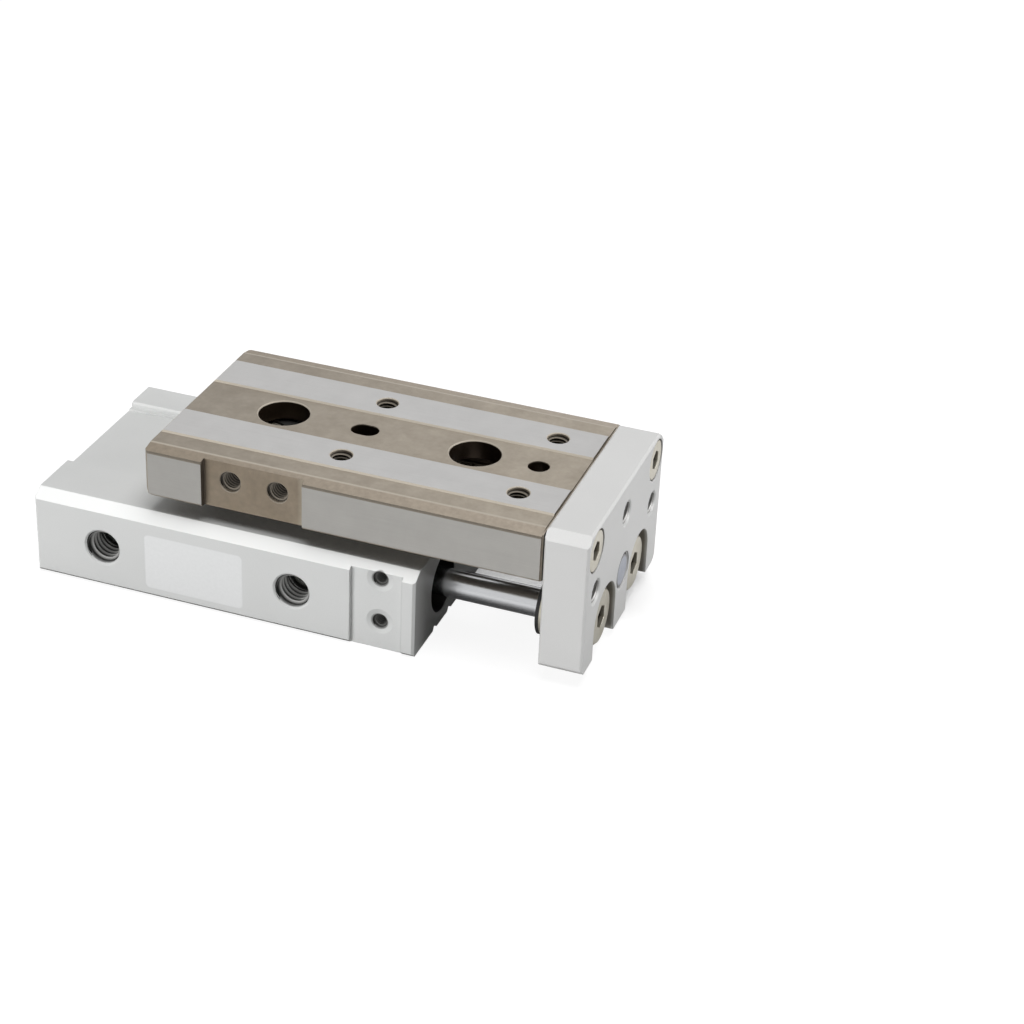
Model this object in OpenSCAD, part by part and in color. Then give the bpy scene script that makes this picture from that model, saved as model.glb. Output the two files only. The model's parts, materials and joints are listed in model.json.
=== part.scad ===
// Compact pneumatic slide table: twin cylinders in an aluminium body drive a
// ball-guided steel table through an end plate.
// X runs along the stroke (towards the end plate), Y across, Z up from the
// mounting face. Solids are drawn in "body" coordinates, with X from the rear
// face of the body and Y from the centre plane, and place() then moves the
// origin to the bottom centre of the whole slide as it stands.

/* [Motion] */
// Full stroke of the table
stroke = 20; // [20:1:30]
// Gap between body and end plate as drawn
rest_gap = 16.8; // [12:0.1:18]
// Gap left between body and end plate when retracted
stop_gap = 0.4; // [0.3:0.1:1]

/* [Body] */
// Length of the body
body_len = 56; // [56:1:80]
// Width of the body
body_w = 36; // [35:0.5:44]
// Height of the body at its side lands
body_h = 12.6; // [12.4:0.1:15]
// Depth of the milled guide seat below the lands
seat_depth = 0.95; // [0.6:0.05:1.2]
// Guide seat edge on the port side, from the centre plane
seat_near = 7; // [6.8:0.1:8.5]
// Guide seat edge on the far side, from the centre plane
seat_far = 10.4; // [8:0.1:11]
// Width of the chamfer along the top edges
edge_chamfer_w = 1.9; // [1:0.1:2.5]
// Height of the chamfer along the top edges
edge_chamfer_h = 1.1; // [0.6:0.1:1.6]
// Depth of the milled pad at the front of the port side
pad_depth = 0.6; // [0.3:0.05:0.8]
// Length of the milled pad
pad_len = 7.4; // [6:0.1:9]
// Land left in front of the milled pad
pad_land = 1.85; // [1:0.05:3]

/* [Cylinders] */
// Cylinder bore
bore_d = 8; // [7.5:0.1:8.4]
// Distance between the two bores
bore_pitch = 14.8; // [14:0.1:16]
// Height of the bores above the mounting face
bore_z = 6.1; // [5.9:0.05:6.3]
// Diameter of the cover seats at both ends of each bore
cover_d = 8.8; // [8.5:0.1:9.2]
// Depth of the rod cover's seat from the front
mouth_depth = 9; // [8.5:0.1:12]
// Length of the rod cover
rod_cover_len = 4.9; // [4.5:0.1:5.4]
// Length of the head cap
head_cap_len = 6.6; // [4:0.1:7]
// Depth of the head cap below the rear face
head_cap_inset = 1.6; // [1.2:0.1:2.2]
// Piston rod diameter
rod_d = 4; // [3.6:0.1:4.4]
// Length of the piston
piston_len = 14.4; // [12:0.1:14.4]
// Running clearance of piston, rod and balls, on the radius
run_clear = 0.05; // [0.02:0.01:0.08]

/* [Ports] */
// Port thread diameter
port_d = 5; // [4:0.5:5]
// First port from the rear face
port_x = 10.2; // [9.5:0.1:11]
// Distance between the ports
port_pitch = 28.2; // [26:0.1:32]
// Depth of the port threads
port_depth = 4.6; // [3.5:0.1:4.8]

/* [Table] */
// Length of the table
table_len = 56.4; // [52:0.2:56.4]
// Width of the table
table_w = 33.2; // [32:0.2:38]
// Height of the table at its mounting bands
table_h = 7.5; // [7:0.1:9]
// Gap between the body lands and the table
table_gap = 2.5; // [1.8:0.1:3.2]
// Height of the ground bands above the rest of the table
band_step = 0.25; // [0.15:0.05:0.4]
// Inner edge of each ground band, from the centre plane
band_in = 4.6; // [4.2:0.1:5]
// Outer edge of each ground band, from the centre plane
band_out = 11.6; // [10.5:0.1:12.5]
// Width of the channel for the guide
channel_w = 12.2; // [12:0.1:12.8]
// Roof thickness over the channel
roof_t = 3; // [2.2:0.1:3.2]
// Depth of the milled pocket in the port side
pocket_depth = 1; // [0.6:0.1:1.4]
// Length of the milled pocket
pocket_len = 14.6; // [12:0.2:16]
// Length of the relief around the table's front end
front_relief = 0.4; // [0.2:0.05:0.6]
// Pocket from the rear end of the table
pocket_x = 8.3; // [6:0.1:9]

/* [Mounting holes] */
// Thread diameter of the table's mounting holes
tap_d = 3; // [2.5:0.5:3]
// Depth of the table's mounting threads
tap_depth = 4; // [3:0.1:4.2]
// Mounting hole spacing along the stroke
tap_pitch_x = 25; // [20:1:28]
// Mounting hole spacing across
tap_pitch_y = 16.2; // [15.6:0.1:17]
// Front mounting holes from the front end of the table
tap_inset = 6.5; // [5.5:0.1:8]
// Access hole diameter
access_d = 7.1; // [6.4:0.1:7.4]
// Distance between the access holes, and between the body screws
access_pitch = 28; // [27.5:0.1:29]
// Front access hole from the front end of the table
access_inset = 15.5; // [14:0.1:16]
// Locating hole diameter
pin_d = 3; // [2:0.5:3]
// Length of the locating slot
pin_slot_len = 4; // [3.4:0.1:5]
// Through hole for the body screws
screw_hole_d = 3.4; // [3:0.1:3.6]
// Head recess for the body screws
screw_head_d = 6; // [5.8:0.1:6.2]
// Thread diameter on the body's underside
base_tap_d = 4; // [3.8:0.1:4.4]
// Depth of the underside threads
base_tap_depth = 5; // [3:0.1:6]

/* [End plate] */
// Thickness of the end plate
plate_t = 6.1; // [5.4:0.1:7]
// How far the table stands out beyond the plate on each side
plate_side = 0.1; // [0:0.05:0.5]
// Height of the plate's bottom edge above the mounting face
plate_z = 2.1; // [1.5:0.1:3.4]
// How far the plate stands above the table
plate_over = 0.25; // [0:0.05:0.6]
// Top corner chamfer of the plate on the port side
plate_chamfer = 1.3; // [0.6:0.1:1.8]
// Top corner chamfer of the plate on the far side
plate_far_chamfer = 1.9; // [0.6:0.1:2.2]
// Width of the slots for the floating bushes
slot_w = 9.3; // [9:0.1:9.8]
// How far the tab between the slots reaches below the legs
tab_drop = 1; // [0:0.1:1.2]
// Depth of the wide front part of each slot
slot_depth = 3.2; // [2.8:0.1:3.5]
// Head diameter of the bush screws
bush_head_d = 8.2; // [7:0.1:8.4]
// Plate screws from the sides of the table
plate_screw_inset = 3.5; // [3.2:0.1:4.4]
// Plate screws below the top of the table
plate_screw_drop = 3.1; // [2.8:0.1:3.4]
// Middle thread of the plate below the top of the table
plate_mid_tap_drop = 4.5; // [4:0.1:5.5]
// Outer threads of the plate below the top of the table
plate_low_tap_drop = 9.6; // [8.6:0.1:11]
// Outer threads of the plate from the sides of the table
plate_tap_inset = 4.1; // [3:0.1:5]

/* [Guide] */
// Length of the guide block with its caps
guide_len = 28; // [26:0.5:28]
// Ball diameter
ball_d = 1.5; // [1.3:0.1:1.6]
// Height of the ball track above the mounting face
ball_z = 17.5; // [17.2:0.05:17.7]

/* [Hidden] */
$fn = 64;
over = 0.1;                                    // cutters run this far past a face

// where the main pieces lie along X
table_front = body_len + rest_gap;             // also the back of the end plate
table_rear = table_front - table_len;
plate_front = table_front + plate_t;
out_travel = stroke - (rest_gap - stop_gap);   // travel left in the outward direction
// heights
seat_z = body_h - seat_depth;
table_z = body_h + table_gap;
table_top = table_z + table_h;
plate_top = table_top + plate_over;
plate_w = table_w - 2 * plate_side;
roof_z = table_top - roof_t;
// body
foot_chamfer = 0.5;
end_chamfer = 0.35;
seat_slope = 1.4;                              // sloping edge of the seat, port side
ledge_w = 0.5;                                 // small ledge along the seat's far side
ledge_h = 0.2;
foot_groove_w = 1.4;                           // extruded grooves beside each bore
foot_groove_h = 0.55;
foot_groove_gap = 2.7;
pad_hole_d = 2;                                // threads in the milled pad
pad_hole_csk = 2.5;
pad_hole_depth = 3.5;
pad_hole_pitch = 6.6;
pad_hole_inset = 5.1;                          // from the front face
pad_hole_z = bore_z + 1.4;                     // middle of the pair
csk_rim = 0.12;                                // countersink beyond a thread, on the radius
port_csk = 0.25;
passage_d = 1.2;                               // air passages
body_screw_x = [body_len + stop_gap - access_inset,
                body_len + stop_gap - access_inset - access_pitch];
screw_head_depth = 3.1;
screw_floor_z = seat_z - screw_head_depth;     // under the head of a body screw
base_pin_depth = 3;
base_pin_gap = 4.6;                            // slot and hole from the rear screw
// cylinders
ring_t = 0.6;                                  // retaining ring
ring_groove_d = cover_d + 0.9;
cover_x = body_len - mouth_depth;              // inner face of the rod cover
ring_x = cover_x + rod_cover_len + 0.05;
head_ring_x = head_cap_inset - 0.05 - ring_t;
rod_port_x = cover_x - 1.2;
cord = 0.8;                                    // O-rings on caps and covers
cord_w = 1.2;                                  // and their grooves
cover_ring_x = cover_x + 1.8;                  // middle of the rod cover's O-ring
piston_clear = 0.1;
seal_d = 6.4;                                  // rod seal, outside
seal_len = 1.7;
bumper_proud = 0.4;
bumper_t = 1;
piston_front = cover_x - out_travel - 0.1 - bumper_proud;
piston_rear = piston_front - piston_len;
piston_seal_w = 1.5;
magnet_len = 4;
collar_len = 4.4;
spigot_d = 5;
rod_tap_d = 2.5;
rod_tap_len = 5;
bush_t = 1.8;                                  // flange behind the plate
washer_t = 0.5;
neck_w = 5.4;                                  // narrow part of the plate's slots
bush_shank_d = 5.2;
bush_screw_d = bush_head_d - 0.2;
bush_head_t = slot_depth - 0.5;
bush_head_edge = 0.35;
bush_socket = 1.3;                             // depth of its key socket
rod_front = table_front + 0.1;
rod_rear = piston_rear + 1.6;
// plate
head_d = 5.5;                                  // M3 socket heads
head_h = 3;
head_clear_d = 6;
head_sink = 0.1;                               // heads below the face they sit in
socket_depth = 1.5;
hex_3 = 2.5;                                   // key sizes, across flats
hex_bush = 3;
screw_clear = 0.2;                             // through holes over the screws
plate_tap_csk = 0.4;
plate_screw_y = table_w / 2 - plate_screw_inset;
plate_screw_reach = 6.4;                       // thread length in the table
plate_tap_y = table_w / 2 - plate_tap_inset;
slot_rise = 0.3;                               // room above the bushes
plate_foot_round = 1.8;                        // rounded lower corner on the far side
plate_foot_cut = 0.8;                          // cut lower corner on the port side
tab_cut = 0.5;                                 // cut corners of the tab between the slots
stop_d = 5;
stop_z = bore_z + 3.1;
stop_edge = 0.3;
plate_screw_z = table_top - plate_screw_drop;
plate_edge = 0.3;
// table
side_step = 0.15;                              // ground side face stands this far out
side_top = 0.8;                                // top of the ground face below the bands
top_chamfer_w = 2;
top_chamfer_h = 0.4;
front_relief_depth = 0.5;
end_corner = 0.45;                             // upright corners at the rear end
side_tap_inset = 3.8;                          // first thread from the pocket's rear wall
side_tap_x = table_rear + pocket_x + side_tap_inset;
side_tap_pitch = 6.85;
side_tap_depth = 5;
side_tap_drop = 3.3;
side_tap_z = table_top - side_tap_drop;
rear_round = 1.3;                              // lower rear corner
// guide
guide_half = channel_w / 2 - 0.7;
guide_top = roof_z - 0.5;
cap_len = 2;
scraper_t = 0.6;
guide_rear = table_rear + out_travel + scraper_t + 0.2;
ball_y = (channel_w / 2 + guide_half) / 2;
ball_r = ball_d / 2;
return_inset = 1.3;                            // return bores from the block's side and foot
return_rise = 2.5;
return_y = guide_half - return_inset;
return_z = seat_z + return_rise;
scraper_slot = 1.4;
ball_gap = 0.1;                                // between neighbouring balls
ball_count = floor((guide_len - 2 * cap_len - ball_d - ball_gap / 4) / (ball_d + ball_gap)) + 1;
guide_screw_inset = 3.6;                       // from the rear of the steel block
guide_screw_pitch = 6.8;
guide_screw_x = guide_rear + cap_len + guide_screw_inset;
guide_screw_sink = 0.2;
guide_screw_depth = 4;

alloy = [0.83, 0.84, 0.85];
ground_steel = [0.66, 0.66, 0.64];
dark_steel = [0.32, 0.32, 0.33];
chrome = [0.8, 0.81, 0.83];
nickel = [0.78, 0.77, 0.72];
table_steel = [0.6, 0.56, 0.5];
nitrile = [0.08, 0.08, 0.08];
resin = [0.15, 0.17, 0.2];

// ---- helpers ----

// Moves a piece from body coordinates to the part's own origin.
module place() translate([-plate_front / 2, 0, 0]) children();

// Extrudes a Y-Z outline along X.
module along_x(x, len) translate([x, 0, 0]) rotate([90, 0, 90]) linear_extrude(len) children();

// Extrudes an X-Z outline along Y, centred.
module along_y(len) rotate([90, 0, 0]) linear_extrude(len, center = true) children();

// A cylinder along X that starts at x.
module bar(d, x, len) translate([x, 0, 0]) rotate([0, 90, 0]) cylinder(d = d, h = len);

// A ring along X.
module ring(od, id, x, len) difference() {
    bar(od, x, len);
    bar(id, x - over, len + 2 * over);
}

// Both cylinder axes.
module each_bore() for (side = [-1, 1]) translate([0, side * bore_pitch / 2, bore_z]) children();

// A threaded hole's envelope along -Z, mouth at the origin, with its countersink.
module tapped(d, depth, csk = csk_rim) {
    translate([0, 0, -depth]) cylinder(d = d, h = depth + over);
    translate([0, 0, -csk]) cylinder(d1 = d, d2 = d + 2 * (csk + over), h = csk + over);
}

// A hexagonal socket along X, open towards +X at x.
module hex_socket(flats, x, depth)
    translate([x - depth, 0, 0]) rotate([0, 90, 0])
        cylinder(d = flats / cos(30), h = depth + over, $fn = 6);

// A closed X-Y or X-Z outline with its corners cut.
module cut_rect(x0, y0, x1, y1, c) polygon([
    [x0 + c, y0], [x1 - c, y0], [x1, y0 + c], [x1, y1 - c],
    [x1 - c, y1], [x0 + c, y1], [x0, y1 - c], [x0, y0 + c]]);

// A rubber ring lying in a groove, around the X axis.
module oring(od, cord, x) translate([x, 0, 0]) rotate([0, 90, 0])
    rotate_extrude() translate([od / 2 - cord / 2, 0]) circle(d = cord);

// ---- body ----

module body_outline() {
    half = body_w / 2;
    difference() {
        polygon([
            [-half + foot_chamfer, 0], [half - foot_chamfer, 0], [half, foot_chamfer],
            [half, body_h - edge_chamfer_h], [half - edge_chamfer_w, body_h],
            [seat_far + 0.6, body_h], [seat_far + 0.3, body_h - 0.25],
            [seat_far + 0.3, seat_z + ledge_h], [seat_far - ledge_w, seat_z + ledge_h],
            [seat_far - ledge_w, seat_z], [-seat_near, seat_z],
            [-seat_near - seat_slope, body_h], [-half + edge_chamfer_w, body_h],
            [-half, body_h - edge_chamfer_h], [-half, foot_chamfer]]);
        for (side = [-1, 1], edge = [-1, 1])
            translate([side * bore_pitch / 2 + edge * foot_groove_gap, 0])
                polygon([[-foot_groove_w / 2, -over], [foot_groove_w / 2, -over],
                         [foot_groove_w / 2, 0], [foot_groove_w / 4, foot_groove_h],
                         [-foot_groove_w / 4, foot_groove_h], [-foot_groove_w / 2, 0]]);
    }
}

module port_hole(x) translate([x, -body_w / 2, bore_z]) rotate([90, 0, 0])
    tapped(port_d, port_depth, port_csk);

// Air passages. The rear port opens straight into the head ends of the bores.
// The front port reaches the rod ends by a drilling beside the near bore.
module passages() {
    drill_y = (bore_pitch + bore_d) / 2 + 0.9 + passage_d / 2;
    translate([port_x, 0, bore_z]) rotate([90, 0, 0])
        translate([0, 0, -bore_pitch / 2])
            cylinder(d = passage_d, h = (bore_pitch + body_w) / 2 - port_depth + over);
    translate([rod_port_x, 0, bore_z]) rotate([90, 0, 0])
        translate([0, 0, -bore_pitch / 2]) cylinder(d = passage_d, h = bore_pitch / 2 + drill_y);
    translate([port_x + port_pitch, -drill_y, bore_z]) rotate([0, 90, 0])
        cylinder(d = passage_d, h = rod_port_x - port_x - port_pitch);
    translate([port_x + port_pitch, -drill_y, bore_z]) rotate([90, 0, 0])
        cylinder(d = passage_d, h = body_w / 2 - port_depth + over - drill_y + passage_d);
}

module body() color(alloy) place() difference() {
    intersection() {
        along_x(0, body_len) body_outline();
        translate([0, 0, -over]) linear_extrude(body_h + 2 * over)
            cut_rect(0, -body_w / 2, body_len, body_w / 2, end_chamfer);
    }
    each_bore() {
        bar(bore_d, head_cap_inset, body_len - head_cap_inset);
        bar(cover_d, cover_x, mouth_depth + over);
        bar(cover_d, -over, head_cap_inset + head_cap_len + over);
        bar(ring_groove_d, ring_x, ring_t + 0.05);
        bar(ring_groove_d, head_ring_x - 0.05, ring_t + 0.05);
    }
    port_hole(port_x);
    port_hole(port_x + port_pitch);
    passages();
    // milled pad and its two threads
    translate([body_len - pad_land - pad_len, -body_w / 2 - over, -over])
        cube([pad_len, pad_depth + over, body_h + 2 * over]);
    for (side = [-1, 1])
        translate([body_len - pad_hole_inset, -body_w / 2 + pad_depth,
                   pad_hole_z + side * pad_hole_pitch / 2])
            rotate([90, 0, 0]) tapped(pad_hole_d, pad_hole_depth, (pad_hole_csk - pad_hole_d) / 2);
    // body screws from above, threads from below
    for (x = body_screw_x) translate([x, 0, 0]) {
        translate([0, 0, -over]) cylinder(d = screw_hole_d, h = body_h);
        translate([0, 0, screw_floor_z]) cylinder(d = screw_head_d, h = body_h);
        translate([0, 0, -over]) cylinder(d = base_tap_d, h = base_tap_depth + over);
    }
    // locating hole and slot on the underside
    translate([body_screw_x[1] + base_pin_gap, 0, -over]) cylinder(d = pin_d, h = base_pin_depth + over);
    translate([body_screw_x[0] - base_pin_gap, 0, -over]) linear_extrude(base_pin_depth + over)
        slot_outline(pin_slot_len, pin_d);
    for (i = [0, 1]) translate([guide_screw_x + i * guide_screw_pitch, 0, seat_z])
        tapped(tap_d, guide_screw_depth + 0.6);
}

module slot_outline(len, w) {
    square([len - w, w], center = true);
    for (side = [-1, 1]) translate([side * (len - w) / 2, 0]) circle(d = w);
}

module head_caps() color(dark_steel) place() each_bore() difference() {
    bar(cover_d, head_cap_inset, head_cap_len);
    ring(cover_d + over, cover_d - 2 * cord, head_cap_inset + head_cap_len / 2 - cord_w / 2, cord_w);
    bar(cover_d / 2, head_cap_inset - over, 1 + over);
}

module head_orings() color(nitrile) place() each_bore()
    oring(cover_d, cord, head_cap_inset + head_cap_len / 2);

module rod_covers() color(resin) place() each_bore() difference() {
    bar(cover_d, cover_x, rod_cover_len);
    bar(rod_d + 2 * run_clear, cover_x - over, rod_cover_len + 2 * over);
    bar(seal_d, cover_x + rod_cover_len - seal_len, seal_len + over);
    ring(cover_d + over, cover_d - 2 * cord, cover_ring_x - cord_w / 2, cord_w);
}

module cover_orings() color(nitrile) place() each_bore()
    oring(cover_d, cord, cover_ring_x);

module rod_seals() color(nitrile) place() each_bore() difference() {
    bar(seal_d, cover_x + rod_cover_len - seal_len, seal_len - 0.2);
    bar(rod_d + 2 * run_clear, cover_x, rod_cover_len + over);
    ring(rod_d + 1.7, rod_d + 1, cover_x + rod_cover_len - 0.8, 1);
}

// An open retaining ring with two eyes beside its gap.
module retaining_ring(x) translate([x, 0, 0]) rotate([0, 90, 0]) {
    outer = ring_groove_d / 2 - 0.05;
    inner = cover_d / 2 - 0.55;
    difference() {
        union() {
            difference() {
                cylinder(r = outer, h = ring_t);
                translate([0, 0, -over]) cylinder(r = inner, h = ring_t + 2 * over);
            }
            for (side = [-1, 1]) rotate([0, 0, side * 16]) translate([-inner + 0.25, 0, 0])
                cylinder(r = 0.75, h = ring_t);
        }
        translate([-outer - over, -0.55, -over]) cube([outer, 1.1, ring_t + 2 * over]);
        for (side = [-1, 1]) rotate([0, 0, side * 16]) translate([-inner + 0.2, 0, -over])
            cylinder(r = 0.35, h = ring_t + 2 * over);
    }
}

module retaining_rings() color(dark_steel) place() each_bore() {
    retaining_ring(ring_x);
    retaining_ring(head_ring_x);
}

// ---- guide ----

module guide_outline() difference() {
    translate([-guide_half, seat_z]) square([2 * guide_half, guide_top - seat_z]);
    for (side = [-1, 1]) {
        translate([side * ball_y, ball_z]) circle(r = ball_r + run_clear);
        translate([side * return_y, return_z]) circle(r = ball_r + run_clear);
        // relief beside the foot
        translate([side * guide_half, seat_z + 1.2]) square([0.8, 0.8], center = true);
    }
}

module guide_block() color(dark_steel) place() difference() {
    along_x(guide_rear + cap_len, guide_len - 2 * cap_len) guide_outline();
    translate([body_screw_x[0], 0, seat_z - over]) cylinder(d = screw_head_d, h = body_h);
    for (i = [0, 1]) translate([guide_screw_x + i * guide_screw_pitch, 0, 0]) {
        translate([0, 0, seat_z - over]) cylinder(d = tap_d + screw_clear, h = body_h);
        translate([0, 0, guide_top - head_h - guide_screw_sink]) cylinder(d = head_clear_d, h = body_h);
    }
}

module return_caps() color(resin) place()
    for (x = [guide_rear, guide_rear + guide_len - cap_len])
        along_x(x, cap_len) polygon([
            [-guide_half, seat_z + 0.1], [guide_half, seat_z + 0.1], [guide_half, guide_top - 0.8],
            [guide_half - 0.8, guide_top], [-guide_half + 0.8, guide_top], [-guide_half, guide_top - 0.8]]);

module scrapers() color(nitrile) place()
    for (x = [guide_rear - scraper_t, guide_rear + guide_len])
        along_x(x, scraper_t) difference() {
            translate([-guide_half - 0.4, seat_z + 0.3])
                square([2 * guide_half + 0.8, guide_top - seat_z - 0.1]);
            for (side = [-1, 1]) translate([side * (guide_half + 0.4), seat_z + 0.3])
                square([scraper_slot, 2 * (table_z - seat_z)], center = true);
        }

module ball_row(y, z) for (i = [0:ball_count - 1])
    translate([guide_rear + cap_len + ball_r + ball_gap / 4 + i * (ball_d + ball_gap), y, z])
        sphere(d = ball_d);

// Loaded balls bear on the block's grooves, returning balls lie in its bores.
module balls() color(chrome) place() for (side = [-1, 1]) {
    ball_row(side * (ball_y - run_clear), ball_z);
    ball_row(side * return_y, return_z - run_clear);
}

module guide_screws() color(nickel) place() for (i = [0, 1])
    translate([guide_screw_x + i * guide_screw_pitch, 0, guide_top - guide_screw_sink]) difference() {
        shank = guide_top - guide_screw_sink - seat_z + guide_screw_depth;
        union() {
            translate([0, 0, -head_h]) cylinder(d = head_d, h = head_h);
            translate([0, 0, -shank]) cylinder(d = tap_d, h = shank - head_h + over);
        }
        translate([0, 0, -socket_depth]) cylinder(d = hex_3 / cos(30), h = socket_depth + over, $fn = 6);
    }

// ---- table ----

module table_outline() {
    half = table_w / 2;
    low = table_top - band_step;
    difference() {
        polygon([
            [-half + 0.4, table_z], [half - 0.4, table_z], [half, table_z + 0.4],
            [half, table_top - side_top], [half - side_step, table_top - side_top],
            [half - side_step, low - top_chamfer_h], [half - side_step - top_chamfer_w, low],
            [band_out, low], [band_out - 0.2, table_top], [band_in + 0.2, table_top],
            [band_in, low], [-band_in, low], [-band_in - 0.2, table_top],
            [-band_out + 0.2, table_top], [-band_out, low],
            [-half + side_step + top_chamfer_w, low], [-half + side_step, low - top_chamfer_h],
            [-half + side_step, table_top - side_top], [-half, table_top - side_top],
            [-half, table_z + 0.4]]);
        translate([-channel_w / 2, table_z - over]) square([channel_w, roof_z - table_z + over]);
        for (side = [-1, 1]) {
            translate([side * ball_y, ball_z]) circle(r = ball_r + run_clear);
            translate([side * channel_w / 2, table_z]) rotate(45) square(0.7, center = true);
        }
    }
}

module table() color(table_steel) place() difference() {
    intersection() {
        along_x(table_rear, table_len) table_outline();
        translate([0, 0, table_z - over]) linear_extrude(table_h + 2 * over)
            polygon([[table_rear + end_corner, -table_w / 2], [table_front, -table_w / 2],
                     [table_front, table_w / 2], [table_rear + end_corner, table_w / 2],
                     [table_rear, table_w / 2 - end_corner], [table_rear, -table_w / 2 + end_corner]]);
        along_y(table_w + 1) cut_rect(table_rear, table_z, table_front, table_top, 0.25);
        // rounded lower rear corner
        along_y(table_w + 1) polygon([
            [table_front, table_z], [table_front, table_top], [table_rear, table_top],
            each [for (a = [0:15:90]) [table_rear + rear_round * (1 - cos(a)),
                                       table_z + rear_round * (1 - sin(a))]]]);
    }
    // relief around the front end
    along_x(table_front - front_relief, front_relief + over) difference() {
        translate([-table_w / 2 - 1, table_z - 1]) square([table_w + 2, table_h + 2]);
        translate([-table_w / 2 + front_relief_depth, table_z - 1])
            square([table_w - 2 * front_relief_depth, table_h + 1 - front_relief_depth]);
    }
    // mounting threads
    for (x = [0, tap_pitch_x], side = [-1, 1])
        translate([table_front - tap_inset - x, side * tap_pitch_y / 2, table_top])
            tapped(tap_d, tap_depth);
    // access holes for the body screws
    for (x = [0, access_pitch]) translate([table_front - access_inset - x, 0, table_top - band_step]) {
        translate([0, 0, -roof_t]) cylinder(d = access_d, h = roof_t + band_step + over);
        translate([0, 0, -0.15]) cylinder(d1 = access_d, d2 = access_d + 0.5, h = 0.25);
    }
    // locating hole and slot
    translate([table_front - tap_inset, 0, roof_z - over]) {
        cylinder(d = pin_d, h = roof_t + 2 * over);
        translate([-tap_pitch_x, 0, 0]) linear_extrude(roof_t + 2 * over) slot_outline(pin_slot_len, pin_d);
    }
    // pocket in the port side, with two threads
    translate([table_rear + pocket_x, -table_w / 2 - over, table_z - over])
        cube([pocket_len, pocket_depth + over, table_h + 2 * over]);
    for (i = [0, 1])
        translate([side_tap_x + i * side_tap_pitch, -table_w / 2 + pocket_depth, side_tap_z])
            rotate([90, 0, 0]) tapped(tap_d, side_tap_depth);
    // threads for the plate screws
    for (side = [-1, 1]) translate([table_front, side * plate_screw_y, plate_screw_z])
        rotate([0, 90, 0]) tapped(tap_d, plate_screw_reach + 0.6, 0.2);
}

// ---- end plate ----

module plate_outline() {
    half = plate_w / 2;
    near = plate_chamfer;
    far = plate_far_chamfer;
    foot = plate_foot_round;
    tab = bore_pitch / 2;
    polygon([[-half, plate_z + plate_foot_cut], [-half + plate_foot_cut, plate_z],
             [-tab, plate_z], [-tab, plate_z - tab_drop], [tab, plate_z - tab_drop], [tab, plate_z],
             each [for (a = [0:15:90]) [half - foot * (1 - sin(a)), plate_z + foot * (1 - cos(a))]],
             [half, plate_top - far], [half - far, plate_top],
             [-half + near, plate_top], [-half, plate_top - near]]);
}

// A slot open at the bottom, with a round top about each bore's axis.
module plate_slots(w) for (side = [-1, 1]) translate([side * bore_pitch / 2, 0]) {
    low = plate_z - tab_drop;
    translate([0, bore_z + slot_rise]) circle(d = w);
    translate([-w / 2, low - 1]) square([w, bore_z + slot_rise - low + 1]);
    // cut lower corner of the tab between the slots
    polygon([[-side * w / 2, low + tab_cut], [-side * (w / 2 + tab_cut), low],
             [-side * (w / 2 + tab_cut), low - 1], [-side * w / 2, low - 1]]);
}

module end_plate() color(alloy) place() difference() {
    intersection() {
        along_x(table_front, plate_t) plate_outline();
        along_y(plate_w + 1)
            cut_rect(table_front, plate_z - tab_drop, plate_front, plate_top, plate_edge);
        linear_extrude(plate_top + over)
            cut_rect(table_front, -plate_w / 2, plate_front, plate_w / 2, plate_edge);
    }
    along_x(plate_front - slot_depth, slot_depth + over) plate_slots(slot_w);
    along_x(table_front - over, plate_t + 2 * over) plate_slots(neck_w);
    for (side = [-1, 1]) {
        translate([0, side * plate_screw_y, plate_screw_z]) {
            bar(tap_d + screw_clear, table_front - over, plate_t + 2 * over);
            bar(head_clear_d, plate_front - head_h - head_sink, head_h + 1);
        }
        translate([plate_front, side * plate_tap_y, table_top - plate_low_tap_drop])
            rotate([0, 90, 0]) tapped(tap_d, plate_t + over, plate_tap_csk);
    }
    translate([plate_front, 0, table_top - plate_mid_tap_drop])
        rotate([0, 90, 0]) tapped(tap_d, plate_t + over, plate_tap_csk);
    translate([0, 0, stop_z]) {
        bar(stop_d, table_front - over, plate_t + 2 * over);
        bar(stop_d + 0.4, plate_front - 0.2, 1);
    }
}

module plate_screws() color(nickel) place() for (side = [-1, 1])
    translate([0, side * plate_screw_y, plate_screw_z]) difference() {
        union() {
            bar(head_d, plate_front - head_h - head_sink, head_h);
            bar(tap_d, table_front - plate_screw_reach, plate_t + plate_screw_reach - head_h);
        }
        hex_socket(hex_3, plate_front - head_sink, socket_depth);
    }

module stop_plug() color(ground_steel) place() translate([0, 0, stop_z]) difference() {
    union() {
        bar(stop_d, table_front + 1.2, plate_t - 1.3 - stop_edge);
        translate([plate_front - 0.1 - stop_edge, 0, 0]) rotate([0, 90, 0])
            cylinder(d1 = stop_d, d2 = stop_d - 2 * stop_edge, h = stop_edge);
    }
    bar(1.4, table_front, 3);
}

// Rubber pad that meets the body's front when the table retracts.
module stop_pad() color(nitrile) place() translate([0, 0, stop_z]) {
    bar(stop_d - 1, table_front - stop_gap + 0.05, 1.2 + stop_gap - 0.05);
    bar(1.4, table_front + 1, 1.8);
}

module bushes() color(nickel) place() each_bore() difference() {
    union() {
        bar(bush_head_d, table_front - bush_t, bush_t);
        bar(bush_shank_d, table_front - over, plate_t - slot_depth + over);
    }
    bar(rod_d, table_front - bush_t - over, bush_t + over + rod_front - table_front);
    bar(rod_tap_d + 0.1, table_front, plate_t);
}

module bush_washers() color(nitrile) place() each_bore()
    ring(bush_head_d, rod_d, table_front - bush_t - washer_t, washer_t);

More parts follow.
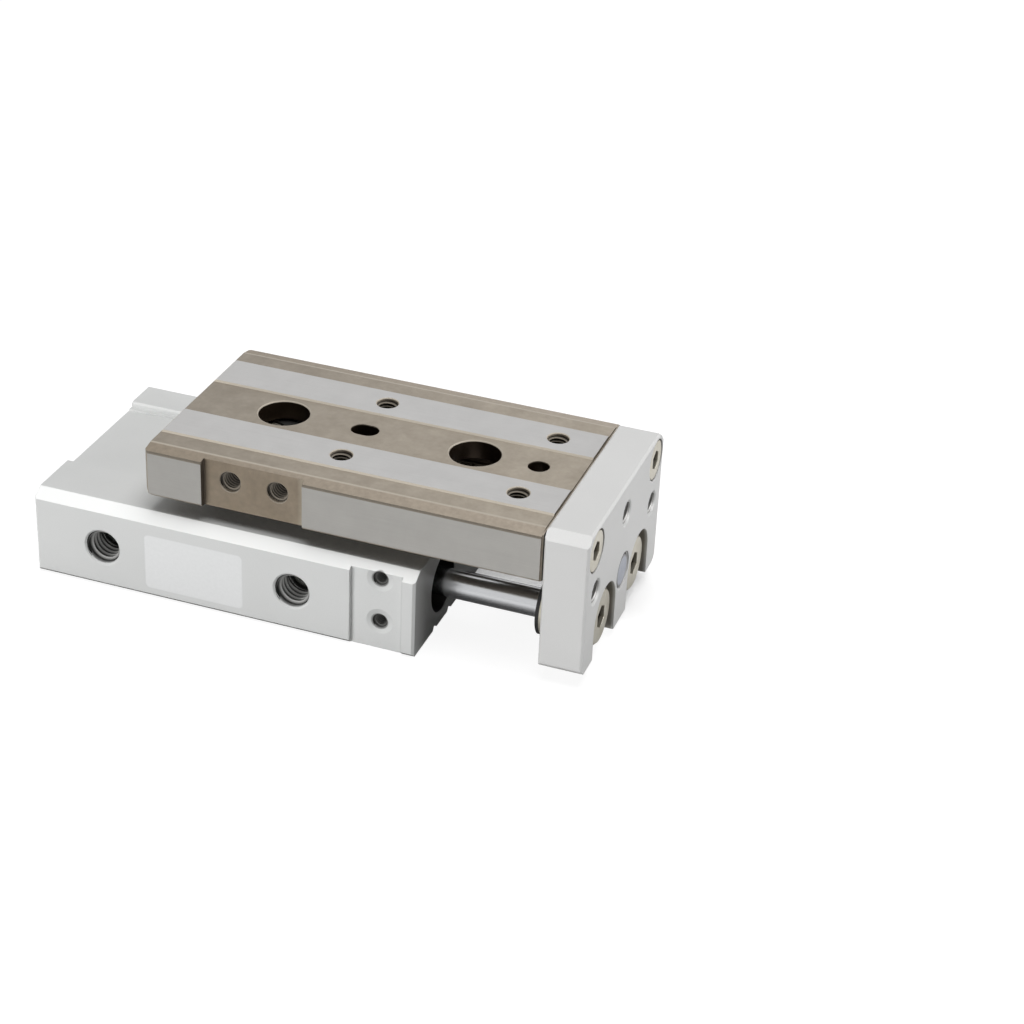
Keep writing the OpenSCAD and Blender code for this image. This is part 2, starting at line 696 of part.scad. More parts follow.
module bush_screws() color(nickel) place() each_bore() difference() {
    union() {
        bar(bush_screw_d, plate_front - slot_depth, bush_head_t - bush_head_edge);
        translate([plate_front - slot_depth + bush_head_t - bush_head_edge, 0, 0]) rotate([0, 90, 0])
            cylinder(d1 = bush_screw_d, d2 = bush_screw_d - 2 * bush_head_edge, h = bush_head_edge);
        bar(rod_tap_d, rod_front - rod_tap_len + 0.5, plate_front - slot_depth - rod_front + rod_tap_len);
    }
    hex_socket(hex_bush, plate_front - slot_depth + bush_head_t, bush_socket);
}

// ---- rods and pistons ----

module rods() color(chrome) place() each_bore() difference() {
    bar(rod_d, rod_rear, rod_front - rod_rear);
    bar(rod_tap_d, rod_front - rod_tap_len, rod_tap_len + over);
}

module pistons() color(alloy) place() each_bore() difference() {
    union() {
        bar(bore_d - 2 * piston_clear, piston_rear + collar_len + magnet_len,
            piston_len - collar_len - magnet_len);
        bar(spigot_d, piston_rear, piston_len);
    }
    bar(rod_d, rod_rear, piston_len);
    ring(bore_d, bore_d - 2.4, piston_front - 1 - piston_seal_w, piston_seal_w);
    bar(bore_d - 1.8, piston_front - (bumper_t - bumper_proud), bumper_t);
}

module piston_collars() color(alloy) place() each_bore()
    ring(bore_d - 2 * piston_clear, spigot_d, piston_rear, collar_len);

module magnets() color(dark_steel) place() each_bore()
    ring(bore_d - 0.6, spigot_d, piston_rear + collar_len, magnet_len);

module piston_seals() color(nitrile) place() each_bore() difference() {
    ring(bore_d - 2 * run_clear, bore_d - 2.4, piston_front - 1 - piston_seal_w, piston_seal_w);
    ring(bore_d, bore_d - 0.7, piston_front - 1 - piston_seal_w / 2 - 0.2, 0.4);
}

module piston_bumpers() color(nitrile) place() each_bore()
    ring(bore_d - 1.8, rod_d, piston_front - (bumper_t - bumper_proud), bumper_t);

body();
head_caps();
head_orings();
rod_covers();
cover_orings();
rod_seals();
retaining_rings();
guide_block();
return_caps();
scrapers();
balls();
guide_screws();
table();
end_plate();
plate_screws();
stop_plug();
stop_pad();
bushes();
bush_washers();
bush_screws();
rods();
pistons();
piston_collars();
magnets();
piston_seals();
piston_bumpers();
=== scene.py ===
"""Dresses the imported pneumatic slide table: materials, threads, lights and camera."""
import json
import math

import bmesh
import bpy
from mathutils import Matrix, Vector


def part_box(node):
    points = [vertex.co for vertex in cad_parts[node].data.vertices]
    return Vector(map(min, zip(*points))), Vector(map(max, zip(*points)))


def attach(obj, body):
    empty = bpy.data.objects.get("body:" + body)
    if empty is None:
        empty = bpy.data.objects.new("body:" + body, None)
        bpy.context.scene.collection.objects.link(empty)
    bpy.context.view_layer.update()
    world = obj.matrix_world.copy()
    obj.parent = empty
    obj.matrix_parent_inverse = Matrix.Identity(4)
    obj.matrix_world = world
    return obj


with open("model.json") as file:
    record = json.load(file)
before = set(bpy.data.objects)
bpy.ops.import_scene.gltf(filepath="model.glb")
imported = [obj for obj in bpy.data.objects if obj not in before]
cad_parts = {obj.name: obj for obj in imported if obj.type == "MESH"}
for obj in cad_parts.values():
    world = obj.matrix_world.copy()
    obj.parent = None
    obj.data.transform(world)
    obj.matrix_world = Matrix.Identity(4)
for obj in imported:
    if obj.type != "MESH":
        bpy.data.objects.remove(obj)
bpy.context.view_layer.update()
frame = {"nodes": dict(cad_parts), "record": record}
MM = 0.001
NODES = frame["nodes"]
MOUNTS = {m["name"]: m for m in frame["record"]["mounts"]}


def lo(node):
    """Lowest corner of a CAD node, in millimetres."""
    return Vector(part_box(node)[0]) / MM


def hi(node):
    """Highest corner of a CAD node, in millimetres."""
    return Vector(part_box(node)[1]) / MM


def mount(name):
    """Place of a mount, in millimetres."""
    return Vector(MOUNTS[name]["pos_m"]) / MM


def spacing(name, key):
    """A size that a mount states, in millimetres."""
    return MOUNTS[name]["dims"][key]


BODY_REAR = lo("body").x
BODY_FRONT = hi("body").x
BODY_SIDE = hi("body").y
BODY_TOP = hi("body").z
TABLE_REAR = lo("table").x
TABLE_FRONT = hi("table").x
TABLE_SIDE = hi("table").y
TABLE_TOP = hi("table").z
PLATE_BACK = lo("end_plate").x
PLATE_FRONT = hi("end_plate").x
PLATE_SIDE = hi("end_plate").y
PLATE_TOP = hi("end_plate").z
PLATE_LOW = lo("end_plate").z
BORE_Y = hi("rods").y - (hi("rods").z - lo("rods").z) / 2
BORE_Z = (hi("rods").z + lo("rods").z) / 2

# places and sizes that the frame does not give, in millimetres
# label field: centre, half sizes and corner radius
LABEL_X = mount("port_rear").x + 13.7
LABEL_Z = 5.6
LABEL_HALF_X = 7.3
LABEL_HALF_Z = 4.2
LABEL_ROUND = 0.7
BORE_MOUTH_R = 4.95
SCREW_HEAD_R = 2.75
# ends of the pocket in the table's port side, and inner edge of the strips along its top
POCKET_REAR = TABLE_REAR + 8.3
POCKET_FRONT = POCKET_REAR + 14.6
STRIP_EDGE = TABLE_SIDE - 2.15
# distance of the milled pad's end line from the body's front end
PAD_LAND = 1.85

# tones of the large pale surfaces
BODY_TONE = (212, 213, 212)
PLATE_TONE = (214, 214, 213)
LABEL_TONE = (226, 227, 227)


# ---- materials ----

class Nodes:
    """Short calls that build a node tree."""

    def __init__(self, tree):
        self.tree = tree
        tree.nodes.clear()

    def node(self, kind, **props):
        n = self.tree.nodes.new("ShaderNode" + kind)
        for key, value in props.items():
            setattr(n, key, value)
        return n

    def link(self, a, b):
        self.tree.links.new(a, b)

    def feed(self, value, socket):
        if isinstance(value, bpy.types.NodeSocket):
            self.link(value, socket)
        else:
            socket.default_value = value

    def math(self, op, a, b=0.0):
        n = self.node("Math", operation=op)
        self.feed(a, n.inputs[0])
        self.feed(b, n.inputs[1])
        return n.outputs[0]

    def axes(self, vector):
        n = self.node("SeparateXYZ")
        self.link(vector, n.inputs[0])
        return n.outputs

    def step(self, value, start, end, top=1.0, bottom=0.0):
        """bottom at start and before it, top at end and past it."""
        n = self.node("MapRange")
        self.link(value, n.inputs["Value"])
        n.inputs["From Min"].default_value = start
        n.inputs["From Max"].default_value = end
        n.inputs["To Min"].default_value = bottom
        n.inputs["To Max"].default_value = top
        return n.outputs[0]

    def mix_f(self, fac, a, b):
        n = self.node("Mix", data_type="FLOAT")
        self.feed(fac, n.inputs[0])
        self.feed(a, n.inputs[2])
        self.feed(b, n.inputs[3])
        return n.outputs[0]

    def seen_rays(self):
        """1 for camera, glossy and transmission rays."""
        path = self.node("LightPath")
        total = path.outputs["Is Camera Ray"]
        for ray in ("Is Glossy Ray", "Is Transmission Ray"):
            total = self.math("MAXIMUM", total, path.outputs[ray])
        return total


class Shader(Nodes):
    """A surface material with a Principled shader. Coordinates are in millimetres."""

    def __init__(self, name):
        self.mat = bpy.data.materials.new(name)
        self.mat.use_nodes = True
        super().__init__(self.mat.node_tree)
        out = self.node("OutputMaterial")
        self.bsdf = self.node("BsdfPrincipled")
        self.link(self.bsdf.outputs[0], out.inputs["Surface"])
        self.mm = self.shade(self.node("TexCoord").outputs["Object"], 1 / MM)

    def noise(self, scale, detail, rough=0.5, stretch=None):
        n = self.node("TexNoise")
        vector = self.mm
        if stretch:
            product = self.node("VectorMath", operation="MULTIPLY")
            self.feed(vector, product.inputs[0])
            self.feed(stretch, product.inputs[1])
            vector = product.outputs[0]
        self.link(vector, n.inputs["Vector"])
        n.inputs["Scale"].default_value = scale
        n.inputs["Detail"].default_value = detail
        n.inputs["Roughness"].default_value = rough
        return n.outputs[0]

    def spread(self, value, low, high):
        """Maps the middle of a noise, 0.3 to 0.7, to low..high."""
        return self.step(value, 0.3, 0.7, high, low)

    def mix(self, fac, a, b):
        n = self.node("Mix", data_type="RGBA")
        self.feed(fac, n.inputs[0])
        self.feed((*a, 1) if isinstance(a, tuple) else a, n.inputs[6])
        self.feed((*b, 1) if isinstance(b, tuple) else b, n.inputs[7])
        return n.outputs[2]

    def shade(self, colour, fac):
        """A colour or vector times a factor."""
        n = self.node("VectorMath", operation="SCALE")
        self.feed(colour, n.inputs[0])
        self.feed(fac, n.inputs["Scale"])
        return n.outputs[0]

    def normals(self):
        """Sizes of the surface normal along x, y and z."""
        return [self.math("ABSOLUTE", v) for v in self.axes(self.node("NewGeometry").outputs["Normal"])]

    def bevel(self, radius_mm):
        """Rounded normal and a mask that is 1 on edges."""
        n = self.node("Bevel", samples=6)
        n.inputs["Radius"].default_value = radius_mm * MM
        dot = self.node("VectorMath", operation="DOT_PRODUCT")
        self.link(n.outputs[0], dot.inputs[0])
        self.link(self.node("NewGeometry").outputs["Normal"], dot.inputs[1])
        edge = self.step(self.math("SUBTRACT", 1.0, dot.outputs["Value"]), 0.01, 0.12)
        return n.outputs[0], edge

    def bump(self, height, distance_mm, normal=None):
        n = self.node("Bump")
        n.inputs["Strength"].default_value = 1.0
        n.inputs["Distance"].default_value = distance_mm * MM
        self.link(height, n.inputs["Height"])
        if normal is not None:
            self.link(normal, n.inputs["Normal"])
        return n.outputs[0]

    def set(self, **values):
        names = {"colour": "Base Color", "metal": "Metallic", "rough": "Roughness", "normal": "Normal"}
        for key, value in values.items():
            self.feed(value, self.bsdf.inputs[names[key]])


def srgb(r, g, b):
    """8-bit colour to linear."""
    def one(v):
        v /= 255
        return v / 12.92 if v <= 0.04045 else ((v + 0.055) / 1.055) ** 2.4
    return (one(r), one(g), one(b))


def near_axis(s, a, b, centre, radius, soft=0.1):
    """1 within radius of an axis that runs through centre, given its two cross coordinates."""
    da = s.math("SUBTRACT", a, centre[0])
    db = s.math("SUBTRACT", b, centre[1])
    dist = s.math("SQRT", s.math("ADD", s.math("MULTIPLY", da, da), s.math("MULTIPLY", db, db)))
    return s.step(dist, radius + soft, radius)


def any_of(s, masks):
    total = masks[0]
    for m in masks[1:]:
        total = s.math("MAXIMUM", total, m)
    return total


def inside_box(s, value, low, high, soft):
    """1 where a coordinate is between low and high."""
    return s.math("MULTIPLY", s.step(value, low - soft, low + soft), s.step(value, high + soft, high - soft))


def blasted(s, colour, rough, edge_highlight, bevel=0.16):
    """Colour, roughness and normal of fine-blasted, clear anodised aluminium, with a painted highlight on
    the edges.
    """
    normal, edge = s.bevel(bevel)
    grain = s.noise(6.0, 3.0, 0.6)
    cloud = s.noise(0.12, 3.0)
    tone = s.math("MULTIPLY", s.spread(grain, 0.982, 1.018), s.spread(cloud, 0.985, 1.015))
    # painted highlight: the colour is brighter on edges
    tone = s.math("MULTIPLY", tone, s.mix_f(edge, 1.0, edge_highlight))
    return s.shade(colour, tone), s.spread(grain, rough - 0.05, rough + 0.06), s.bump(grain, 0.012, normal)


def body_material():
    """Body: anodised, with painted shade in the bores and on the hole walls, and a bare, rounded label
    field.
    """
    s = Shader("body_anodised")
    x, y, z = s.axes(s.mm)
    colour, rough, normal = blasted(s, srgb(*BODY_TONE), 0.45, 1.07)
    # label field on the port side, between the ports
    px = s.math("ABSOLUTE", s.math("SUBTRACT", x, LABEL_X))
    pz = s.math("ABSOLUTE", s.math("SUBTRACT", z, LABEL_Z))
    qx = s.math("MAXIMUM", s.math("SUBTRACT", px, LABEL_HALF_X - LABEL_ROUND), 0.0)
    qz = s.math("MAXIMUM", s.math("SUBTRACT", pz, LABEL_HALF_Z - LABEL_ROUND), 0.0)
    dist = s.math("SQRT", s.math("ADD", s.math("MULTIPLY", qx, qx), s.math("MULTIPLY", qz, qz)))
    near_face = s.step(y, -BODY_SIDE + 0.05, -BODY_SIDE + 0.01)
    label = s.math("MULTIPLY", s.step(dist, LABEL_ROUND + 0.04, LABEL_ROUND - 0.04), near_face)
    rim = s.math("MULTIPLY", inside_box(s, dist, LABEL_ROUND - 0.12, LABEL_ROUND + 0.02, 0.05), near_face)
    paper = s.shade(srgb(*LABEL_TONE), s.spread(s.noise(2.0, 2.0), 0.985, 1.015))
    colour = s.mix(label, colour, paper)
    colour = s.shade(colour, s.mix_f(rim, 1.0, 0.93))
    # painted shade on the walls of the ports, the pad's threads and the bores
    ports = [(mount(n).x, mount(n).z) for n in ("port_rear", "port_front")]
    walls = [near_axis(s, x, z, c, spacing("port_rear", "r_mm")) for c in ports]
    pad = mount("pad_taps")
    half = spacing("pad_taps", "spacing_y_mm") / 2
    mouth = spacing("pad_taps", "hole_r_mm") + 0.12
    walls += [near_axis(s, x, z, (pad.x, pad.z + k * half), mouth, 0.15) for k in (-1, 1)]
    holes = s.math("MULTIPLY", any_of(s, walls), s.step(y, -BODY_SIDE + 0.3, -BODY_SIDE + 0.9))
    holes = s.math("MULTIPLY", holes, s.step(y, 0.0, -1.0))
    bores = any_of(s, [near_axis(s, y, z, (k * BORE_Y, BORE_Z), BORE_MOUTH_R) for k in (-1, 1)])
    bores = s.math("MULTIPLY", bores, inside_box(s, x, BODY_REAR + 0.5, BODY_FRONT - 0.1, 0.1))
    # painted highlight: the chamfers along the top edges are painted brighter than the body
    nx, ny, nz = s.normals()
    out = s.math("ABSOLUTE", y)
    slanted = inside_box(s, nz, 0.35, 0.92, 0.03)
    chamfer_highlight = s.math("MULTIPLY", slanted, s.step(z, BODY_TOP - 2.4, BODY_TOP - 2.2))
    chamfer_highlight = s.math("MULTIPLY", chamfer_highlight, s.step(out, BODY_SIDE - 2.2, BODY_SIDE - 2.0))
    colour = s.mix(chamfer_highlight, colour, srgb(240, 241, 240))
    # painted shade line along the step where the milled pad ends, and a soft dimple round each of its
    # threads
    on_pad = s.math("MULTIPLY", s.step(y, pad.y + 0.2, pad.y + 0.1), s.step(ny, 0.5, 0.9))
    pad_end_shade = inside_box(s, x, BODY_FRONT - PAD_LAND - 0.28, BODY_FRONT - PAD_LAND + 0.05, 0.08)
    colour = s.shade(colour, s.mix_f(s.math("MULTIPLY", pad_end_shade, on_pad), 1.0, 0.82))
    dimples = [near_axis(s, x, z, (pad.x, pad.z + k * half), 1.15, 0.75) for k in (-1, 1)]
    dimple = s.math("MULTIPLY", any_of(s, dimples), on_pad)
    normal = s.bump(s.math("SUBTRACT", 1.0, dimple), 0.32, normal)
    # painted shade on the front end face, which the table and plate keep in shade, and painted shade on the
    # small downward chamfers along the foot
    end = s.math("MULTIPLY", s.step(nx, 0.8, 0.95), s.step(x, BODY_FRONT - 0.2, BODY_FRONT - 0.1))
    colour = s.shade(colour, s.mix_f(end, 1.0, 0.74))
    # painted shade: the foot's small chamfers are painted dark grey
    foot_shade = s.math("MULTIPLY", slanted, s.step(z, 0.7, 0.6))
    foot_shade = s.math("MULTIPLY", foot_shade, s.step(out, BODY_SIDE - 0.7, BODY_SIDE - 0.6))
    colour = s.mix(foot_shade, colour, srgb(112, 112, 110))
    # the turned floors of the ports mirror the threads, and the painted shade in the pad's holes is lighter
    floors = s.math("MULTIPLY", holes, s.step(ny, 0.8, 0.95))
    dark = s.mix(floors, srgb(46, 46, 44), srgb(205, 205, 202))
    dark = s.mix(s.step(x, BODY_FRONT - 8, BODY_FRONT - 7.9), dark, srgb(96, 96, 94))
    # near-black painted shade in the bores and darker painted shade on the hole walls
    s.set(colour=s.mix(bores, s.mix(holes, colour, dark), srgb(50, 49, 48)),
          metal=s.mix_f(floors, 0.12, 1.0), rough=s.mix_f(floors, s.mix_f(label, rough, 0.33), 0.12),
          normal=normal)
    s.bsdf.inputs["Specular IOR Level"].default_value = 0.3
    return s


def plate_material():
    """End plate: as the body, with painted shade on the walls of its slots, recesses and holes."""
    s = Shader("plate_anodised")
    x, y, z = s.axes(s.mm)
    colour, rough, normal = blasted(s, srgb(*PLATE_TONE), 0.42, 1.08, 0.2)
    # painted shade on the walls of the tapped holes
    low = mount("plate_side_taps")
    half = spacing("plate_side_taps", "spacing_x_mm") / 2
    r = spacing("plate_side_taps", "hole_r_mm")
    walls = [near_axis(s, y, z, (k * half, low.z), r) for k in (-1, 1)]
    walls.append(near_axis(s, y, z, (0, mount("plate_top_tap").z), r))
    deep_shade = s.math("MULTIPLY", any_of(s, walls), s.step(x, PLATE_FRONT - 0.2, PLATE_FRONT - 0.6))
    # painted shade: a little darker on top, to offset the overhead lamp, and painted shade on the walls in
    # the slots and screw recesses
    nx, _, nz = s.normals()
    colour = s.shade(colour, s.mix_f(s.step(nz, 0.97, 0.99), 1.0, 0.97))
    out = s.math("ABSOLUTE", y)
    inner_shade = s.math("MULTIPLY", s.step(nx, 0.6, 0.4), s.step(out, PLATE_SIDE - 0.5, PLATE_SIDE - 0.9))
    inner_shade = s.math("MULTIPLY", inner_shade, inside_box(s, z, PLATE_LOW + 0.2, PLATE_TOP - 2.2, 0.05))
    inner_shade = s.math("MULTIPLY", inner_shade, s.step(x, PLATE_FRONT - 0.15, PLATE_FRONT - 0.5))
    colour = s.mix(inner_shade, colour, srgb(150, 146, 139))
    s.set(colour=s.mix(deep_shade, colour, srgb(196, 195, 193)), metal=0.12, rough=rough, normal=normal)
    s.bsdf.inputs["Specular IOR Level"].default_value = 0.3
    return s


def machined(name, colour, metal, rough, grain=9.0, depth=0.006):
    """Turned or plated metal with fine tool marks and a painted highlight on the edges."""
    s = Shader(name)
    normal, edge = s.bevel(0.1)
    marks = s.noise(grain, 2.0)
    # painted highlight: the colour is brighter on edges
    tone = s.math("MULTIPLY", s.spread(marks, 0.97, 1.03), s.mix_f(edge, 1.0, 1.15))
    s.set(colour=s.shade(colour, tone), metal=metal, rough=s.spread(marks, rough - 0.05, rough + 0.05),
          normal=s.bump(marks, depth, normal))
    return s


def screw_material():
    """Nickel plating on screws and bushes, with painted shade on the floors of the key sockets."""
    s = Shader("nickel")
    normal, edge = s.bevel(0.12)
    x, y, z = s.axes(s.mm)
    marks = s.noise(8.0, 2.0)
    cloud = s.noise(0.8, 2.0)
    # painted highlight: the colour is brighter on edges
    tone = s.math("MULTIPLY", s.spread(marks, 0.96, 1.03), s.mix_f(edge, 1.0, 1.12))
    colour = s.mix(s.spread(cloud, 0.0, 1.0), srgb(196, 192, 180), srgb(184, 178, 162))
    # painted shade: the floors of the key sockets are painted dark brown
    screw_y = lo("plate_screws").y + SCREW_HEAD_R
    screw_z = lo("plate_screws").z + SCREW_HEAD_R
    screws = any_of(s, [near_axis(s, y, z, (k * screw_y, screw_z), 1.5) for k in (-1, 1)])
    bushes = any_of(s, [near_axis(s, y, z, (k * BORE_Y, BORE_Z), 1.78) for k in (-1, 1)])
    screws = s.math("MULTIPLY", screws, s.step(x, PLATE_FRONT - 0.45, PLATE_FRONT - 0.8))
    bushes = s.math("MULTIPLY", bushes, s.step(x, PLATE_FRONT - 0.85, PLATE_FRONT - 1.2))
    deep_shade = s.math("MAXIMUM", screws, bushes)
    s.set(colour=s.mix(deep_shade, s.shade(colour, tone), srgb(42, 33, 25)), metal=s.mix_f(deep_shade, 0.75, 0.0),
          rough=s.spread(marks, 0.3, 0.42), normal=s.bump(marks, 0.006, normal))
    s.bsdf.inputs["Specular IOR Level"].default_value = 0.1
    return s


def plug_material():
    """End plate's plug: a bluish face inside a turned rim that is painted darker, a painted shade ring."""
    s = Shader("plug_steel")
    normal, _ = s.bevel(0.1)
    _, y, z = s.axes(s.mm)
    plug_z = (lo("stop_plug").z + hi("stop_plug").z) / 2
    plug_r = (hi("stop_plug").z - lo("stop_plug").z) / 2
    # painted shade: the rim round the face is painted darker
    face = near_axis(s, y, z, (0, plug_z), plug_r - 0.62, 0.25)
    marks = s.noise(9.0, 2.0)
    cloud = s.noise(0.9, 2.0)
    centre = s.mix(s.spread(cloud, 0.0, 1.0), srgb(152, 156, 168), srgb(168, 171, 180))
    colour = s.mix(face, srgb(112, 111, 112), centre)
    s.set(colour=s.shade(colour, s.spread(marks, 0.96, 1.04)), metal=0.4, rough=s.spread(marks, 0.35, 0.45),
          normal=s.bump(marks, 0.006, normal))
    return s


def table_material():
    """Heat-tinted stainless steel with ground mounting bands and sides."""
    s = Shader("table_steel")
    normal, edge = s.bevel(0.14)
    x, y, z = s.axes(s.mm)
    _, ny, nz = s.normals()
    out = s.math("ABSOLUTE", y)
    up = s.step(nz, 0.97, 0.99)
    band = s.math("MULTIPLY", s.step(z, TABLE_TOP - 0.06, TABLE_TOP - 0.03), up)
    across = s.step(ny, 0.97, 0.99)
    side = s.math("MULTIPLY", s.step(out, TABLE_SIDE - 0.08, TABLE_SIDE - 0.04), across)
    ground = s.math("MAXIMUM", band, side)
    # cloudy heat tint, darker at the rear
    cloud = s.noise(0.3, 3.0, 0.6)
    patch = s.noise(1.3, 2.0, 0.6)
    grain = s.noise(8.0, 2.0)
    streak = s.noise(1.0, 3.0, 0.6, stretch=(0.06, 7.0, 7.0))
    tint = s.mix(s.spread(cloud, 0.0, 1.0), srgb(141, 132, 119), srgb(157, 148, 135))
    tint = s.mix(s.step(x, TABLE_REAR, TABLE_FRONT), s.shade(tint, 0.88), s.shade(tint, 1.2))
    tint = s.shade(tint, s.spread(patch, 0.95, 1.04))
    # pocket in the port side: straw brown, with painted shade on the rear wall and a painted highlight in
    # the front corner
    pocket = s.math("MULTIPLY", inside_box(s, x, POCKET_REAR - 0.1, POCKET_FRONT + 0.1, 0.04),
                    s.step(y, -TABLE_SIDE + 1.15, -TABLE_SIDE + 0.9))
    pocket = s.math("MULTIPLY", pocket, s.step(nz, 0.5, 0.3))
    straw = s.mix(s.spread(s.noise(0.55, 3.0, 0.6), 0.0, 1.0), srgb(108, 93, 74), srgb(128, 113, 92))
    # painted highlight: lighter towards the pocket's front corner
    straw = s.mix(s.step(x, POCKET_FRONT - 1.1, POCKET_FRONT - 0.5), straw, srgb(150, 141, 124))
    tint = s.mix(pocket, tint, s.shade(straw, s.spread(patch, 0.93, 1.05)))
    # painted shade: the pocket's rear wall is painted dark
    pocket_wall_shade = s.math("MULTIPLY", pocket, s.step(x, POCKET_REAR + 0.35, POCKET_REAR + 0.1))
    tint = s.mix(pocket_wall_shade, tint, srgb(70, 62, 53))
    # small slopes beside the bands painted lighter, a painted highlight, and the lit and shaded lines along
    # the outer edge
    slanted = inside_box(s, nz, 0.5, 0.93, 0.02)
    slope_highlight = s.math("MULTIPLY", slanted, s.step(z, TABLE_TOP - 0.5, TABLE_TOP - 0.3))
    low_top = s.math("MULTIPLY", s.step(nz, 0.8, 0.95), s.step(z, TABLE_TOP - 0.2, TABLE_TOP - 0.24))
    outer = s.math("MULTIPLY", s.step(out, STRIP_EDGE, STRIP_EDGE + 0.1), low_top)
    lit = s.math("MULTIPLY", inside_box(s, out, STRIP_EDGE - 0.05, STRIP_EDGE + 0.22, 0.12), low_top)
    shaded = s.math("MULTIPLY", s.step(out, TABLE_SIDE - 0.3, TABLE_SIDE - 0.2),
                    inside_box(s, z, TABLE_TOP - 1.0, TABLE_TOP - 0.7, 0.06))
    steel = s.mix(side, srgb(189, 188, 187), srgb(160, 158, 154))
    steel = s.shade(steel, s.mix_f(s.math("MULTIPLY", side, s.step(x, TABLE_REAR, TABLE_FRONT)), 0.97, 1.06))
    steel = s.shade(steel, s.spread(streak, 0.975, 1.025))
    steel = s.shade(steel, s.spread(cloud, 0.965, 1.03))
    colour = s.mix(ground, tint, steel)
    strip = s.mix(s.step(x, TABLE_REAR, TABLE_FRONT), srgb(136, 125, 110), srgb(161, 150, 136))
    colour = s.mix(outer, colour, s.shade(strip, s.spread(patch, 0.9, 1.1)))
    # painted highlight: the colour is brighter on edges
    colour = s.shade(colour, s.mix_f(edge, 1.0, 1.12))
    colour = s.mix(slope_highlight, colour, srgb(182, 174, 160))
    colour = s.mix(lit, colour, s.shade(srgb(178, 170, 157), s.spread(grain, 0.94, 1.06)))
    colour = s.mix(shaded, colour, srgb(118, 111, 100))
    # nearly black painted shade on the walls in the holes and the channel
    inner_shade = s.math("MULTIPLY", s.step(nz, 0.7, 0.5), s.step(out, TABLE_SIDE - 1.4, TABLE_SIDE - 2.4))
    inner_shade = s.math("MULTIPLY", inner_shade, inside_box(s, x, TABLE_REAR + 0.3, TABLE_FRONT - 0.3, 0.05))
    inner_shade = s.math("MULTIPLY", inner_shade, s.step(z, TABLE_TOP - 0.3, TABLE_TOP - 0.5))
    pair = mount("table_side_taps")
    half = spacing("table_side_taps", "spacing_x_mm") / 2
    r = spacing("table_side_taps", "hole_r_mm")
    taps = any_of(s, [near_axis(s, x, z, (pair.x + k * half, pair.z), r) for k in (-1, 1)])
    taps = s.math("MULTIPLY", taps, inside_box(s, y, -TABLE_SIDE + 2.3, -TABLE_SIDE + 7, 0.4))
    inner_shade = s.math("MAXIMUM", inner_shade, taps)
    colour = s.mix(inner_shade, colour, srgb(52, 41, 31))
    # painted shade: a dark line round the end, in the gap against the plate
    colour = s.mix(s.step(x, TABLE_FRONT - 0.26, TABLE_FRONT - 0.2), colour, srgb(26, 23, 20))
    height = s.mix_f(ground, grain, streak)
    metal = s.mix_f(inner_shade, s.mix_f(ground, 0.3, 0.45), 0.7)
    s.set(colour=colour, metal=metal, rough=s.mix_f(inner_shade, s.mix_f(ground, 0.5, 0.42), 0.3),
          normal=s.bump(height, 0.01, normal))
    return s


def thread_material(name, root, crest):
    """Thread ridges: painted shade at the root, bare metal on the crest."""
    s = Shader(name)
    height = s.node("Attribute", attribute_name="crest").outputs["Fac"]
    marks = s.noise(9.0, 2.0)
    tone = s.spread(marks, 0.92, 1.08)
    s.set(colour=s.shade(s.mix(s.step(height, 0.25, 0.85), root, crest), tone), metal=0.4,
          rough=s.spread(marks, 0.35, 0.5), normal=s.bump(marks, 0.004))
    return s


def soft_material(name, colour, rough):
    """Rubber or moulded resin with a fine moulded grain."""
    s = Shader(name)
    normal, _ = s.bevel(0.1)
    grain = s.noise(6.0, 3.0)
    s.set(colour=s.shade(colour, s.spread(grain, 0.85, 1.15)),
          rough=s.spread(grain, rough - 0.06, rough + 0.06), normal=s.bump(grain, 0.01, normal))
    return s


body_s = body_material()
plate_s = plate_material()
table_s = table_material()
nickel_s = screw_material()
guide_s = machined("guide_steel", srgb(104, 103, 101), 0.8, 0.4)
turned_s = machined("turned_alloy", srgb(170, 171, 172), 0.8, 0.35)
plug_s = plug_material()
ring_s = machined("phosphated_steel", srgb(60, 60, 62), 0.7, 0.45)
chrome_s = machined("hard_chrome", srgb(196, 197, 199), 1.0, 0.22, grain=4.0, depth=0.0002)
ball_s = machined("ball_steel", srgb(205, 205, 208), 1.0, 0.08, grain=3.0, depth=0.0005)
magnet_s = machined("magnet", srgb(90, 90, 92), 0.5, 0.5)
thread_alloy_s = thread_material("thread_alloy", srgb(40, 40, 38), srgb(176, 176, 174))
thread_dark_s = thread_material("thread_dark", srgb(50, 50, 49), srgb(100, 100, 98))
thread_plate_s = thread_material("thread_plate", srgb(150, 149, 147), srgb(208, 208, 206))
thread_steel_s = thread_material("thread_steel", srgb(38, 33, 27), srgb(140, 132, 120))
rubber_s = soft_material("nitrile", srgb(34, 34, 34), 0.6)
resin_s = soft_material("resin", srgb(62, 66, 72), 0.45)

LOOKS = {
    "body": body_s, "end_plate": plate_s, "table": table_s, "guide_block": guide_s,
    "head_caps": turned_s, "pistons": turned_s, "piston_collars": turned_s,
    "head_orings": rubber_s, "cover_orings": rubber_s, "rod_seals": rubber_s, "scrapers": rubber_s,
    "stop_pad": rubber_s, "bush_washers": rubber_s, "piston_seals": rubber_s, "piston_bumpers": rubber_s,
    "rod_covers": resin_s, "return_caps": resin_s, "retaining_rings": ring_s, "balls": ball_s,
    "guide_screws": nickel_s, "plate_screws": nickel_s, "bushes": nickel_s, "bush_screws": nickel_s,
    "stop_plug": plug_s, "rods": chrome_s, "magnets": magnet_s,
}
for name, obj in NODES.items():
    obj.data.materials.clear()
    obj.data.materials.append(LOOKS[name].mat)


# ---- threads ----

